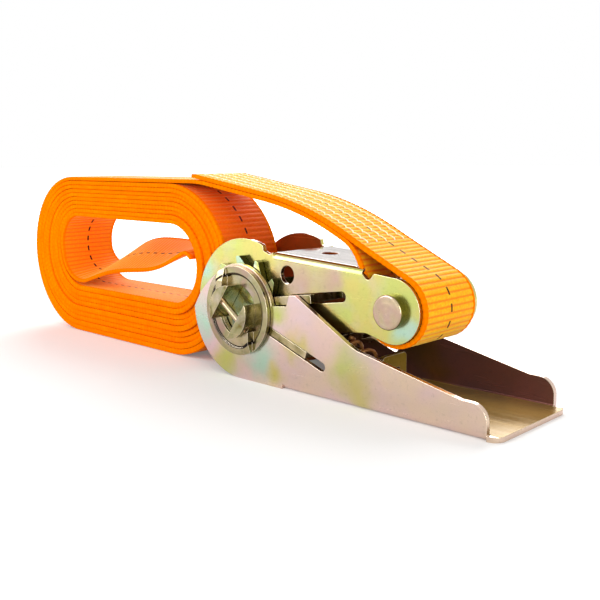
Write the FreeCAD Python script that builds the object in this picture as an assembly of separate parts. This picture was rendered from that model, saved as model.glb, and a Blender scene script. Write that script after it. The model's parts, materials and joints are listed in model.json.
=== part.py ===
import FreeCAD, Part
import math
import os

# Ratchet strap, 25 mm class: folded webbing with a sewn loop, and the ratchet buckle.
# Millimetres. Origin on the mandrel axis at mid width, +Z up.
# +X runs from the mandrel to the lip of the closed handle, Y runs across the webbing.

# ---- sheet, webbing and the layers across the width ----
SHEET = 1.5              # sheet steel of frame and handle
WEB_W = 25.0             # webbing width
WEB_T = 1.4              # webbing thickness
WEB_PLAY = 0.6           # webbing to frame cheek, each side
WHEEL_T = 2.2            # ratchet wheel
WHEEL_PLAY = 0.3         # wheel to either cheek
DISC_T = 1.3             # retaining disc
DISC_PLAY = 0.2          # handle cheek to disc
SHAFT_PROUD = 3.9        # mandrel end beyond the disc

# ---- mandrel, wheels and discs ----
SHAFT_R = 8.7
SHAFT_FLAT = 4.7         # axis to the flat of each half
SHAFT_TILT = -36.0       # direction of the split's normal, degrees from +X
BORE_FIT = 0.1           # radial, cheek bores on the mandrel
KEY_FIT = 0.05           # wheel and disc on the mandrel
CROSS_PIN_R = 1.1
PIN_FIT = 0.02           # pins in their holes
TEETH = 12
TIP_R = 17.8
ROOT_R = 14.0
TOOTH_LAND = 5.0         # degrees
TOOTH_FLAT = 9.0         # degrees of even root before each ramp
TOOTH_PHASE = 10.6       # steep face that the frame pawl stands on, degrees
DISC_R = 14.7
DISC_RIM = 2.4           # width of the raised rim
DISC_SINK = 0.6          # depth inside the rim
CLAW_RISE = 2.0
CLAW_X0 = 4.6            # near claw, from side to side; the other is opposite
CLAW_X1 = 7.6
CLAW_Z0 = -6.0           # its end at the mandrel
CLAW_Z1 = -9.6           # raised to here, then sloping to the rim

# ---- frame, drawn along its own web and then tilted about the mandrel ----
FRAME_TILT = 5.67
FRAME_END_R = 23.4
FRAME_END_X = -1.9       # centre of the round end
FRAME_HEEL = 0.9         # the round end's lower quarter is this much smaller
WEB_X0 = 13.5            # web plate, left end
WEB_Z0 = 18.3
WEB_X1 = 49.8            # web plate, right end
WEB_Z1 = 12.8
BEND_R = 2.2             # outer bend
BELLY_Z = -7.2           # underside
PIN_X = 59.8
PIN_Z = 0.4
LOBE_R = 9.6
LOBE_WAIST = (-10.3, -6.5)      # from the rivet: the underside dips here
LOBE_WAIST_R = 6.0
LOBE_SHOULDER = (-5.7, 10.8)    # from the rivet: where the lobe's edge ends
LOBE_NOTCH = (-7.9, 8.3)        # from the rivet: floor of the notch by the web
LOBE_NOTCH_R = 1.4
NICK_AT = (-1.6, -0.7)          # from the web's left end: floor of the nick there
NICK_EDGE = (-4.3, 0.6)
CORNER_R = 0.9                  # small outline corners
CHEEK_HOLE_R = 2.95
CHEEK_HOLE_X = 19.2
CHEEK_HOLE_Z = 11.1
WEB_HOLE_R = 2.8
WEB_HOLE_AT = 11.5       # along the web from its left end
STRAP_NOTCH = 3.5        # end notch that clears the strap
SPRING_TAB_HALF = 7.5
SPRING_TAB_X = 42.6      # pawl side of the bent spring tab
FRAME_SLOT_RISE = 3.0    # degrees from the frame's own X
FRAME_SLOT_DROP = 2.2    # slot line above the mandrel axis
FRAME_SLOT_S0 = 19.4
FRAME_SLOT_S1 = 43.1
SLOT_FIT = 0.3           # slot edge to pawl face

# ---- pawls and springs ----
FRAME_PAWL_T = 2.7
FRAME_PAWL_TIP = 14.3
FRAME_PAWL_BACK = 31.0
FRAME_PAWL_THROAT = 21.0
FRAME_PAWL_TRAVEL = 3.4
TONGUE_HALF = 2.25
HANDLE_PAWL_T = 2.3
HANDLE_PAWL_ANGLE = -19.5
HANDLE_PAWL_TIP = 13.4   # ear end, outside the wheel
HANDLE_PAWL_BACK = 31.5
HANDLE_PAWL_TRAVEL = 3.8
TIP_GAP = 0.35           # retracted pawl to tooth tips
THROAT_GAP = 0.5         # pawl plate to the frame's round end
SPRING_OD = 8.0
SPRING_WIRE = 1.2
SPRING_GAP = 0.05        # spring end to its seat
FRAME_SPRING_TURNS = 4
HANDLE_SPRING_TURNS = 3.5

# ---- handle ----
BASE_DROP = 22.93        # mandrel axis to the underside of the handle
HANDLE_END_R = 22.93
CHEEK_END_X = 93.7
LIP_END_X = 97.2
BASE_START_X = 19.5
HANDLE_EAR_R = 15.4      # cheek edge round the disc
HANDLE_SLOT_S0 = 12.5
HANDLE_SLOT_S1 = 40.2
LUG_X = 48.25            # spring lug of the handle
LUG_HALF = 6.0
LUG_TOP = -10.2
LUG_R = 1.4              # its top corners
LUG_SLOT_TOP = -14.4
TONGUE_PAST = 1.2        # handle pawl's tongue beyond the lug
SEAT_HALF = 8.0          # upturned back edge of the handle pawl
SEAT_RISE = 4.3          # above the plate's middle

# ---- strap loop, roller and rivet ----
RIVET_R = 4.0
RIVET_HEAD_R = 5.1
RIVET_HEAD_H = 2.6
WASHER_R = 7.0
WASHER_T = 1.2
ROLLER_R = 9.4
ROLLER_WALL = 1.2
ROLLER_PLAY = 0.2
LOOP_GAP = 0.25
STITCH_ROWS = 5
STITCH_PITCH = 3.2       # along the strap, one zigzag
STITCH_SWING = 1.5       # half width of a zigzag
STITCH_W = 0.7
STITCH_H = 0.25

# ---- run of the webbing, from its cut end to the inside of the hank ----
CUT_END_X = -31.0
CUT_END_RISE = 1.33      # middle of the cut end above the top of the hank
STRAP_BEND_X = 23.5
STRAP_BEND_DROP = 7.07   # below the top of the hank
STRAP_BEND_R = 60.0
SEWN_GAP = 0.1           # between the two sewn layers
NECK_X = 42.5            # where the lower layer turns down to the loop
NECK_R = 13.0
NECK_RISE = 7.3          # loop's side above the rivet axis
HANK_X0 = -142.2
HANK_X1 = -11.6
HANK_H = 64.8
HANK_LIFT = 0.1          # floor to the hank
WRAPS = 9
WRAP_GAP = 0.22          # between wraps along the top
WRAP_SAG = 0.55          # extra room per wrap along the bottom
WRAP_EASE = 0.5          # extra room per wrap at the left end
INNER_ROOM = 1.15        # last turn, inside the hank, to the wraps round it
INNER_EASE = -0.7        # last turn's middle from that of the wraps
INNER_END_IN = 4.7       # right end of the crossing run, in from the wraps
INNER_END_RISE = 0.7     # its height, as a share of the eye's
INNER_END_R = 5.0
INNER_TAIL = (1.5, -12.0)

# ---- places across the width that follow from the sizes above ----
WEB_HALF = WEB_W / 2
FRAME_IN = WEB_HALF + WEB_PLAY
FRAME_OUT = FRAME_IN + SHEET
WHEEL_IN = FRAME_OUT + WHEEL_PLAY
WHEEL_OUT = WHEEL_IN + WHEEL_T
HANDLE_IN = WHEEL_OUT + WHEEL_PLAY
HANDLE_OUT = HANDLE_IN + SHEET
DISC_IN = HANDLE_OUT + DISC_PLAY
DISC_OUT = DISC_IN + DISC_T
SHAFT_END = DISC_OUT + SHAFT_PROUD
CROSS_PIN_Y = (DISC_OUT + SHAFT_END) / 2
FLOOR = -BASE_DROP
WEB_DIR = math.atan2(WEB_Z1 - WEB_Z0, WEB_X1 - WEB_X0)
FRAME_REACH = FRAME_END_R - FRAME_END_X


def polar(r, degrees):
    a = math.radians(degrees)
    return (r * math.cos(a), r * math.sin(a))


def vec(x, z, y=0.0):
    return FreeCAD.Vector(x, y, z)


def add(p, q, k=1.0):
    return (p[0] + q[0] * k, p[1] + q[1] * k)


def unit(a, b):
    d = math.hypot(b[0] - a[0], b[1] - a[1])
    return ((b[0] - a[0]) / d, (b[1] - a[1]) / d)


def tangent(point, centre, radius, side):
    """Where a line from point touches a circle; side +1 keeps the circle on the right."""
    dx, dz = centre[0] - point[0], centre[1] - point[1]
    d = math.hypot(dx, dz)
    a = math.atan2(dz, dx) + side * math.asin(radius / d)
    reach = math.sqrt(d * d - radius * radius)
    return (point[0] + reach * math.cos(a), point[1] + reach * math.sin(a))


def rounded(corners):
    """Closed wire in the XZ plane; each corner is (x, z) or (x, z, radius)."""
    n = len(corners)
    ends = []
    for i in range(n):
        p, c, q = corners[i - 1], corners[i], corners[(i + 1) % n]
        r = c[2] if len(c) > 2 else 0.0
        if r <= 0:
            ends.append((c[:2], None, c[:2]))
            continue
        u, v = unit(c, p), unit(c, q)
        half = math.acos(max(-1, min(1, u[0] * v[0] + u[1] * v[1]))) / 2
        t = r / math.tan(half)
        k = unit((0, 0), (u[0] + v[0], u[1] + v[1]))
        m = r / math.sin(half) - r
        mid = (c[0] + k[0] * m, c[1] + k[1] * m)
        a = (c[0] + u[0] * t, c[1] + u[1] * t)
        b = (c[0] + v[0] * t, c[1] + v[1] * t)
        ends.append((a, mid, b))
    edges = []
    for i in range(n):
        a, mid, b = ends[i]
        if mid:
            edges.append(Part.Arc(vec(*a), vec(*mid), vec(*b)).toShape())
        nxt = ends[(i + 1) % n][0]
        if math.hypot(nxt[0] - b[0], nxt[1] - b[1]) > 1e-6:
            edges.append(Part.LineSegment(vec(*b), vec(*nxt)).toShape())
    return Part.Wire(edges)


def slab(corners, y0, y1):
    """Prism of an XZ outline between two places across the width."""
    face = Part.Face(rounded(corners))
    face.translate(FreeCAD.Vector(0, y0, 0))
    return face.extrude(FreeCAD.Vector(0, y1 - y0, 0))


def drum(centre, radius, y0, y1):
    return Part.makeCylinder(radius, y1 - y0, FreeCAD.Vector(centre[0], y0, centre[1]),
                             FreeCAD.Vector(0, 1, 0))


def box(x0, x1, y0, y1, z0, z1):
    return Part.makeBox(x1 - x0, y1 - y0, z1 - z0, FreeCAD.Vector(x0, y0, z0))


def both(shape):
    """The shape and its mirror image on the far side."""
    return shape.fuse(shape.mirror(FreeCAD.Vector(0, 0, 0), FreeCAD.Vector(0, 1, 0)))


def mirrored(shape):
    return shape.mirror(FreeCAD.Vector(0, 0, 0), FreeCAD.Vector(0, 1, 0))


def clean(shape):
    return shape.removeSplitter()


def tilt(shape, degrees):
    """Turn about the mandrel axis, +X end up."""
    s = shape.copy()
    s.rotate(FreeCAD.Vector(0, 0, 0), FreeCAD.Vector(0, -1, 0), degrees)
    return s


def fillet_where(shape, radius, test):
    edges = [e for e in shape.Edges if test(e)]
    return shape.makeFillet(radius, edges)


def corner_bar(x0, x1, z, radius, up, spare):
    """Bar along X in the corner at y 0, level z; what a bend of that radius leaves out.
    The corner's material lies toward +Y and, if up is 1, below z."""
    z0, z1 = sorted((z - up * radius, z + up * spare))
    bar = box(x0, x1, -spare, radius, z0, z1)
    rod = Part.makeCylinder(radius, x1 - x0, FreeCAD.Vector(x0, radius, z - up * radius),
                            FreeCAD.Vector(1, 0, 0))
    return bar.cut(rod)


def fold(body, x0, x1, out, z, up, place=None):
    """Round both long bends of a folded sheet, outside and inside."""
    inner = BEND_R - SHEET
    outside = corner_bar(x0, x1, z, BEND_R, up, 1.0)
    outside.translate(FreeCAD.Vector(0, -out, 0))
    inside = corner_bar(x0, x1, z - up * SHEET, inner, up, 0.1)
    inside.translate(FreeCAD.Vector(0, -out + SHEET, 0))
    pairs = [outside, mirrored(outside)], [inside, mirrored(inside)]
    if place:
        pairs = [[place(b) for b in pair] for pair in pairs]
    return body.fuse(pairs[1]).cut(pairs[0])


def on_line(shape, rise, drop):
    """Put a shape drawn along X at its slide line."""
    s = shape.copy()
    s.translate(FreeCAD.Vector(0, 0, drop))
    return tilt(s, rise)


def slot_cutter(rise, drop, s0, s1, width, y0, y1):
    """Straight slot with rounded ends, open across the width."""
    r = width / 2
    bar = box(s0 + r, s1 - r, y0, y1, -r, r)
    ends = [drum((s, 0), r, y0, y1) for s in (s0 + r, s1 - r)]
    return on_line(bar.multiFuse(ends), rise, drop)


# ---------------------------------------------------------------- mandrel

def half_shaft(side):
    """One half of the split mandrel: a round segment with its flat to the slot."""
    bar = drum((0, 0), SHAFT_R, -SHAFT_END, SHAFT_END)
    keep = box(SHAFT_FLAT, SHAFT_R + 1, -SHAFT_END - 1, SHAFT_END + 1,
               -SHAFT_R - 1, SHAFT_R + 1)
    bar = bar.common(keep)
    for y in (-CROSS_PIN_Y, CROSS_PIN_Y):
        bar = bar.cut(Part.makeCylinder(CROSS_PIN_R + PIN_FIT, 2 * SHAFT_R,
                                        FreeCAD.Vector(0, y, 0), FreeCAD.Vector(1, 0, 0)))
    turn = SHAFT_TILT if side > 0 else SHAFT_TILT + 180
    return tilt(bar, turn)


def cross_pin(y):
    length = math.sqrt(SHAFT_R ** 2 - CROSS_PIN_R ** 2)
    pin = Part.makeCylinder(CROSS_PIN_R, 2 * length, FreeCAD.Vector(-length, y, 0),
                            FreeCAD.Vector(1, 0, 0))
    return tilt(pin, SHAFT_TILT)


def key_holes(y0, y1):
    """The two segment holes that the mandrel halves pass through."""
    hole = drum((0, 0), SHAFT_R + KEY_FIT, y0, y1)
    web = box(-SHAFT_FLAT + KEY_FIT, SHAFT_FLAT - KEY_FIT, y0, y1,
              -2 * SHAFT_R, 2 * SHAFT_R)
    return tilt(hole.cut(web), SHAFT_TILT)


def ratchet_wheel():
    """Saw-toothed wheel: steep face, flat root, straight ramp and a narrow land."""
    pitch = 360.0 / TEETH
    wheel = drum((0, 0), TIP_R, -WHEEL_OUT, -WHEEL_IN)
    for k in range(TEETH):
        a = TOOTH_PHASE + k * pitch
        root_a = polar(ROOT_R, a)
        root_m = polar(ROOT_R, a + TOOTH_FLAT / 2)
        root_b = polar(ROOT_R, a + TOOTH_FLAT)
        tip = polar(TIP_R, a + pitch - TOOTH_LAND)
        far = polar(TIP_R + 3, a + pitch - TOOTH_LAND)
        out = polar(TIP_R + 3, a)
        edges = [Part.Arc(vec(*root_a), vec(*root_m), vec(*root_b)).toShape()]
        path = [root_b, tip, far, out, root_a]
        for p, q in zip(path, path[1:]):
            edges.append(Part.LineSegment(vec(*p), vec(*q)).toShape())
        gap = Part.Face(Part.Wire(edges))
        gap.translate(FreeCAD.Vector(0, -WHEEL_OUT - 1, 0))
        wheel = wheel.cut(gap.extrude(FreeCAD.Vector(0, WHEEL_T + 2, 0)))
    return wheel.cut(key_holes(-WHEEL_OUT - 1, -WHEEL_IN + 1))


def claw():
    """Strip of the disc, raised beside the mandrel to grip it, sloping to the rim."""
    base = -DISC_OUT + DISC_SINK
    high = -DISC_OUT - CLAW_RISE
    side = [(base, CLAW_Z0), (high, CLAW_Z0), (high, CLAW_Z1),
            (-DISC_OUT - 0.3, -DISC_R), (base, -DISC_R)]
    ring = [FreeCAD.Vector(CLAW_X0, y, z) for y, z in side]
    face = Part.Face(Part.makePolygon(ring + [ring[0]]))
    strip = face.extrude(FreeCAD.Vector(CLAW_X1 - CLAW_X0, 0, 0))
    return strip.common(drum((0, 0), DISC_R, high - 1, base))


def retaining_disc():
    """Dished disc on the mandrel end that keeps the handle on."""
    disc = drum((0, 0), DISC_R, -DISC_OUT, -DISC_IN)
    dish = drum((0, 0), DISC_R - DISC_RIM, -DISC_OUT - 1, -DISC_OUT + DISC_SINK)
    disc = disc.cut(dish)
    hole = drum((0, 0), SHAFT_R + KEY_FIT, -SHAFT_END, 0)
    disc = disc.fuse([claw(), tilt(claw(), 180)])
    return clean(disc.cut(hole))


# ---------------------------------------------------------------- frame

def end_top():
    """Where the round end's edge reaches the nick by the web."""
    x = WEB_X0 + NICK_EDGE[0] - SHEET / 5
    return (x, math.sqrt(FRAME_END_R ** 2 - (x - FRAME_END_X) ** 2))


def frame_outline():
    """Cheek outline between the round mandrel end and the rivet lobe."""
    heel_r, heel_x = FRAME_END_R - FRAME_HEEL, FRAME_END_X - FRAME_HEEL
    belly = (heel_x + math.sqrt(heel_r ** 2 - BELLY_Z ** 2), BELLY_Z)
    lobe = (PIN_X, PIN_Z)
    waist, shoulder = add(lobe, LOBE_WAIST), add(lobe, LOBE_SHOULDER)
    under = tangent(waist, lobe, LOBE_R, -1)
    over = tangent(shoulder, lobe, LOBE_R, 1)
    left, right = (WEB_X0, WEB_Z0), (WEB_X1, WEB_Z1)
    nick, edge = add(left, NICK_AT), add(left, NICK_EDGE)
    return [(0, 0), belly, waist + (LOBE_WAIST_R,), under, lobe, over,
            shoulder + (CORNER_R,), add(lobe, LOBE_NOTCH) + (LOBE_NOTCH_R,),
            add(right, (-SHEET / 3, -SHEET * 2 / 3)) + (CORNER_R,), right, left,
            nick + (CORNER_R,), edge + (CORNER_R,), end_top()]


def web_frame(shape):
    """Put a shape drawn on a level web at the web's own slope and left end."""
    s = shape.copy()
    s.rotate(FreeCAD.Vector(0, 0, 0), FreeCAD.Vector(0, -1, 0), math.degrees(WEB_DIR))
    s.translate(FreeCAD.Vector(WEB_X0, 0, WEB_Z0))
    return s


def frame_channel():
    """Both cheeks and the web as one folded sheet, with round bends."""
    cheek = slab(frame_outline(), -FRAME_OUT, -FRAME_IN)
    end = drum((FRAME_END_X, 0), FRAME_END_R, -FRAME_OUT, -FRAME_IN)
    far = 3 * FRAME_END_R
    end = end.common(box(-far, end_top()[0], -FRAME_OUT, -FRAME_IN, 0, far))
    heel_r, heel_x = FRAME_END_R - FRAME_HEEL, FRAME_END_X - FRAME_HEEL
    heel = drum((heel_x, 0), heel_r, -FRAME_OUT, -FRAME_IN)
    heel = heel.common(box(-far, far, -FRAME_OUT, -FRAME_IN, -far, 0))
    lobe = drum((PIN_X, PIN_Z), LOBE_R, -FRAME_OUT, -FRAME_IN)
    cheek = clean(cheek.fuse([end, heel, lobe]))
    length = math.hypot(WEB_X1 - WEB_X0, WEB_Z1 - WEB_Z0)
    plate = web_frame(box(0, length, -FRAME_OUT, FRAME_OUT, -SHEET, 0))
    body = clean(cheek.fuse([mirrored(cheek), plate]))
    return fold(body, 0, length, FRAME_OUT, 0, 1, web_frame)


def spring_tab():
    """Tab bent down from the web: the seat of the frame pawl's spring."""
    s0, s1 = SPRING_TAB_X, SPRING_TAB_X + SHEET
    tab = box(s0, s1, -SPRING_TAB_HALF, SPRING_TAB_HALF, -5.6, 10.5)
    slot = box(s0 - 1, s1 + 1, -TONGUE_HALF - SLOT_FIT, TONGUE_HALF + SLOT_FIT,
               -FRAME_PAWL_T / 2 - SLOT_FIT, FRAME_PAWL_T / 2 + SLOT_FIT)
    return on_line(tab.cut(slot), FRAME_SLOT_RISE, FRAME_SLOT_DROP)


def above_web():
    length = math.hypot(WEB_X1 - WEB_X0, WEB_Z1 - WEB_Z0)
    return web_frame(box(-20, length + 20, -FRAME_OUT - 5, FRAME_OUT + 5, 0, 40))


def frame():
    body = frame_channel()
    length = math.hypot(WEB_X1 - WEB_X0, WEB_Z1 - WEB_Z0)
    tab = spring_tab().cut(above_web())
    side = WEB_HALF + 0.4
    notch = web_frame(box(length - STRAP_NOTCH, length + 9, -side, side, -6, 6))
    window = web_frame(box(length - 6.2, length, -SPRING_TAB_HALF - 0.6,
                           SPRING_TAB_HALF + 0.6, -4, 4))
    body = body.cut(notch)
    keep = on_line(box(SPRING_TAB_X - 1, SPRING_TAB_X + SHEET, -SPRING_TAB_HALF,
                       SPRING_TAB_HALF, -6, 14), FRAME_SLOT_RISE, FRAME_SLOT_DROP)
    body = body.cut(window.cut(keep)).fuse(tab)
    hole = Part.makeCylinder(WEB_HOLE_R, 12, FreeCAD.Vector(WEB_HOLE_AT, 0, -6))
    cuts = [drum((0, 0), SHAFT_R + BORE_FIT, -20, 20),
            drum((CHEEK_HOLE_X, CHEEK_HOLE_Z), CHEEK_HOLE_R, -20, 20),
            drum((PIN_X, PIN_Z), RIVET_R + PIN_FIT, -20, 20),
            web_frame(hole)]
    width = FRAME_PAWL_T + 2 * SLOT_FIT
    slot = slot_cutter(FRAME_SLOT_RISE, FRAME_SLOT_DROP, FRAME_SLOT_S0, FRAME_SLOT_S1,
                       width, FRAME_IN - 0.5, FRAME_OUT + 1)
    cuts += [slot, mirrored(slot)]
    body = clean(body.cut(cuts))
    return tilt(body, FRAME_TILT)


# ---------------------------------------------------------------- pawls

def pawl_plan(steps, back, tongue_end):
    """Half plan of a pawl plate: stepped ears, straight back and a tongue."""
    points = [(tongue_end, 0.0), (steps[0][1], 0.0)]
    last = 0.0
    for y, s in steps:
        points.append((s, last))
        points.append((s, y))
        last = y
    points += [(back, last), (back, TONGUE_HALF), (tongue_end, TONGUE_HALF)]
    out = []
    for p in points:
        if not out or math.hypot(p[0] - out[-1][0], p[1] - out[-1][1]) > 1e-6:
            out.append(p)
    return out


def plate_from_plan(points, thickness):
    ring = [FreeCAD.Vector(p[0], -p[1], -thickness / 2) for p in points]
    face = Part.Face(Part.makePolygon(ring + [ring[0]]))
    return clean(both(face.extrude(FreeCAD.Vector(0, 0, thickness))))


def frame_pawl():
    """Locking plate: two fingers in the tooth gaps, a tongue through the spring tab."""
    finger_in = WHEEL_IN - 0.1
    steps = [(finger_in, FRAME_PAWL_THROAT), (WHEEL_OUT, FRAME_PAWL_TIP)]
    tongue_end = SPRING_TAB_X + SHEET + 1.2
    plate = plate_from_plan(pawl_plan(steps, FRAME_PAWL_BACK, tongue_end), FRAME_PAWL_T)
    relief = slab([(FRAME_PAWL_TIP - 1, FRAME_PAWL_T), (FRAME_PAWL_TIP - 1, 0.1),
                   (FRAME_PAWL_TIP + 2.6, FRAME_PAWL_T)], -30, 30)
    plate = plate.cut(relief)
    return tilt(on_line(plate, FRAME_SLOT_RISE, FRAME_SLOT_DROP), FRAME_TILT)


def handle_pawl():
    """Driving plate of the handle: ears in the cheek slots, a back edge turned up for
    the spring and the finger, and a tongue through the lug."""
    throat = FRAME_REACH + THROAT_GAP
    steps = [(FRAME_OUT + 0.15, throat), (WHEEL_OUT + 0.05, TIP_R + TIP_GAP),
             (HANDLE_OUT - 0.2, HANDLE_PAWL_TIP)]
    through = (LUG_X + SHEET) / math.cos(math.radians(HANDLE_PAWL_ANGLE))
    plan = pawl_plan(steps, HANDLE_PAWL_BACK, through + TONGUE_PAST)
    seat = box(HANDLE_PAWL_BACK - SHEET, HANDLE_PAWL_BACK, -SEAT_HALF, SEAT_HALF,
               0, SEAT_RISE)
    plate = plate_from_plan(plan, HANDLE_PAWL_T).fuse(seat)
    return clean(on_line(plate, HANDLE_PAWL_ANGLE, 0))


def coil(s0, s1, turns):
    """Round-wire compression spring along X."""
    r = (SPRING_OD - SPRING_WIRE) / 2
    length = s1 - s0 - SPRING_WIRE
    helix = Part.makeHelix(length / turns, length, r)
    helix.rotate(FreeCAD.Vector(0, 0, 0), FreeCAD.Vector(0, 1, 0), 90)
    helix.translate(FreeCAD.Vector(s0 + SPRING_WIRE / 2, 0, 0))
    start = helix.Edges[0]
    p = start.valueAt(start.FirstParameter)
    t = start.tangentAt(start.FirstParameter)
    ring = Part.Wire(Part.makeCircle(SPRING_WIRE / 2, p, t))
    return Part.Wire(helix.Edges).makePipeShell([ring], True, True)


def frame_pawl_spring():
    spring = coil(FRAME_PAWL_BACK + SPRING_GAP, SPRING_TAB_X - SPRING_GAP,
                  FRAME_SPRING_TURNS)
    return tilt(on_line(spring, FRAME_SLOT_RISE, FRAME_SLOT_DROP), FRAME_TILT)


def handle_spring_end():
    """Where the spring of the handle pawl meets its lug."""
    a = math.radians(HANDLE_PAWL_ANGLE)
    return LUG_X / math.cos(a) + SPRING_OD / 2 * math.tan(a)


def handle_pawl_spring():
    spring = coil(HANDLE_PAWL_BACK + SPRING_GAP, handle_spring_end() - SPRING_GAP,
                  HANDLE_SPRING_TURNS)
    return on_line(spring, HANDLE_PAWL_ANGLE, 0)


# ---------------------------------------------------------------- handle

def handle_outline():
    """Cheek of the handle: disc seat, cam notch, sloping edge and squared lip end."""
    low = -BASE_DROP
    top_at = math.radians(105)
    start = (HANDLE_EAR_R * math.cos(top_at), HANDLE_EAR_R * math.sin(top_at))
    return [(0, low), (CHEEK_END_X, low), (CHEEK_END_X, -13.4, 5.0), (85.6, -13.3, 3.0),
            (49.0, -5.6, 20.0), (25.4, 7.6, 0.6), (22.8, 7.3, 0.5), (21.7, 3.8, 1.0),
            (14.8, 3.05), (0, 0), start, (-13.4, 10.0, 30.0), (-19.3, 4.5, 12.0),
            (-HANDLE_END_R, -1.2), (-HANDLE_END_R, -1.5), (0, -1.5)]


def handle_cheek():
    cheek = slab(handle_outline(), -HANDLE_OUT, -HANDLE_IN)
    end = drum((0, 0), HANDLE_END_R, -HANDLE_OUT, -HANDLE_IN)
    end = end.common(box(-40, 0.5, -30, 0, -40, -1.4))
    ear = drum((0, 0), HANDLE_EAR_R, -HANDLE_OUT, -HANDLE_IN)
    cheek = clean(cheek.fuse([end, ear]))
    width = HANDLE_PAWL_T + 2 * SLOT_FIT
    slot = slot_cutter(HANDLE_PAWL_ANGLE, 0, HANDLE_SLOT_S0, HANDLE_SLOT_S1, width,
                       -HANDLE_OUT - 1, -HANDLE_IN + 1)
    bore = drum((0, 0), SHAFT_R + BORE_FIT, -30, 0)
    return cheek.cut([slot, bore])


def lug():
    """Tongue lanced from the base and bent up, slotted for the pawl."""
    plate = box(LUG_X, LUG_X + SHEET, -LUG_HALF, LUG_HALF, FLOOR, LUG_TOP)

    def corner(e):
        return abs(e.CenterOfMass.z - LUG_TOP) < 0.01 and abs(e.Length - SHEET) < 0.01
    plate = fillet_where(plate, LUG_R, corner)
    width = TONGUE_HALF + SLOT_FIT
    slot = box(LUG_X - 5, LUG_X + 8, -width, width,
               -HANDLE_PAWL_T / 2 - SLOT_FIT, HANDLE_PAWL_T / 2 + SLOT_FIT)
    a = math.radians(HANDLE_PAWL_ANGLE)
    slot.translate(FreeCAD.Vector(LUG_X / math.cos(a) - LUG_X, 0, 0))
    above = box(LUG_X - 1, LUG_X + SHEET + 1, -width, width, LUG_X * math.tan(a),
                LUG_SLOT_TOP)
    return plate.cut([tilt(slot, HANDLE_PAWL_ANGLE), above])


def base_plate():
    base = box(BASE_START_X, LIP_END_X, -HANDLE_OUT, HANDLE_OUT, FLOOR, FLOOR + SHEET)

    def corner(e):
        c = e.CenterOfMass
        return abs(c.x - LIP_END_X) < 0.01 and abs(e.Length - SHEET) < 0.01
    base = fillet_where(base, 3.4, corner)
    lanced = LUG_TOP - FLOOR - SHEET
    window = box(LUG_X - lanced, LUG_X, -LUG_HALF, LUG_HALF, FLOOR - 1, FLOOR + SHEET + 1)
    return base.cut(window)


def handle():
    cheek = handle_cheek()
    body = clean(cheek.fuse([mirrored(cheek), base_plate(), lug()]))
    return clean(fold(body, BASE_START_X, CHEEK_END_X, HANDLE_OUT, FLOOR, -1))


# ---------------------------------------------------------------- strap end

def pin_place():
    a = math.radians(FRAME_TILT)
    return (PIN_X * math.cos(a) - PIN_Z * math.sin(a),
            PIN_X * math.sin(a) + PIN_Z * math.cos(a))


def rivet_pin():
    """Rivet through both cheeks, with its formed head on the near side."""
    c = pin_place()
    far = FRAME_OUT + WASHER_T + RIVET_HEAD_H * 0.7
    pin = drum(c, RIVET_R, -FRAME_OUT, far)
    head = drum(c, RIVET_HEAD_R, -FRAME_OUT - RIVET_HEAD_H, -FRAME_OUT)

    def outer(e):
        return abs(e.CenterOfMass.y + FRAME_OUT + RIVET_HEAD_H) < 0.01
    head = fillet_where(head, 0.6, outer)
    peen = drum(c, RIVET_HEAD_R, FRAME_OUT + WASHER_T, far)
    return clean(pin.fuse([head, peen]))


def rivet_washer():
    c = pin_place()
    ring = drum(c, WASHER_R, FRAME_OUT, FRAME_OUT + WASHER_T)
    return ring.cut(drum(c, RIVET_R + PIN_FIT, 0, 30))


def loop_roller():
    """Hollow roller on the rivet that spreads the sewn loop."""
    c = pin_place()
    half = FRAME_IN - ROLLER_PLAY
    tube = drum(c, ROLLER_R, -half, half)
    tube = tube.cut(drum(c, ROLLER_R - ROLLER_WALL, -half + ROLLER_WALL,
                         half - ROLLER_WALL))
    return tube.cut(drum(c, RIVET_R + BORE_FIT, -30, 30))


# ---------------------------------------------------------------- webbing

LAYER = WEB_T + WRAP_GAP
LOOP_R = ROLLER_R + LOOP_GAP + WEB_T / 2
HANK_TOP = FLOOR + HANK_LIFT + HANK_H
CUT_END = (CUT_END_X, HANK_TOP + CUT_END_RISE)
STRAP_BEND = (STRAP_BEND_X, HANK_TOP - STRAP_BEND_DROP)


def arc_piece(centre, r, start, sweep):
    """Round piece; angles in degrees, a positive sweep is counter-clockwise."""
    a = add(centre, polar(r, start))
    b = add(centre, polar(r, start + sweep))
    return ("arc", a, b, centre, r, start, sweep)


def bend_path(points):
    """Straight and round pieces through (x, z, radius) corners, all tangent."""
    pieces = []
    here = points[0][:2]
    for p, c, q in zip(points, points[1:], points[2:]):
        u, v = unit(p, c), unit(c, q)
        turn = math.degrees(math.atan2(u[0] * v[1] - u[1] * v[0],
                                       u[0] * v[0] + u[1] * v[1]))
        sign = 1 if turn > 0 else -1
        reach = c[2] * math.tan(math.radians(abs(turn)) / 2)
        a = add(c[:2], u, -reach)
        centre = add(a, (-u[1] * sign, u[0] * sign), c[2])
        start = math.degrees(math.atan2(a[1] - centre[1], a[0] - centre[0]))
        pieces.append(("line", here, a))
        pieces.append(arc_piece(centre, c[2], start, turn))
        here = pieces[-1][2]
    pieces.append(("line", here, points[-1][:2]))
    return pieces


def below(p, q, d):
    """Two points on the line that runs d below the line from p to q."""
    u = unit(p, q)
    n = (u[1], -u[0])
    return add(p, n, d), add(q, n, d)


def crossing(a, b, c, d):
    """Where the line a-b meets the line c-d."""
    ux, uz = b[0] - a[0], b[1] - a[1]
    vx, vz = d[0] - c[0], d[1] - c[1]
    t = ((c[0] - a[0]) * vz - (c[1] - a[1]) * vx) / (ux * vz - uz * vx)
    return (a[0] + ux * t, a[1] + uz * t)


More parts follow.
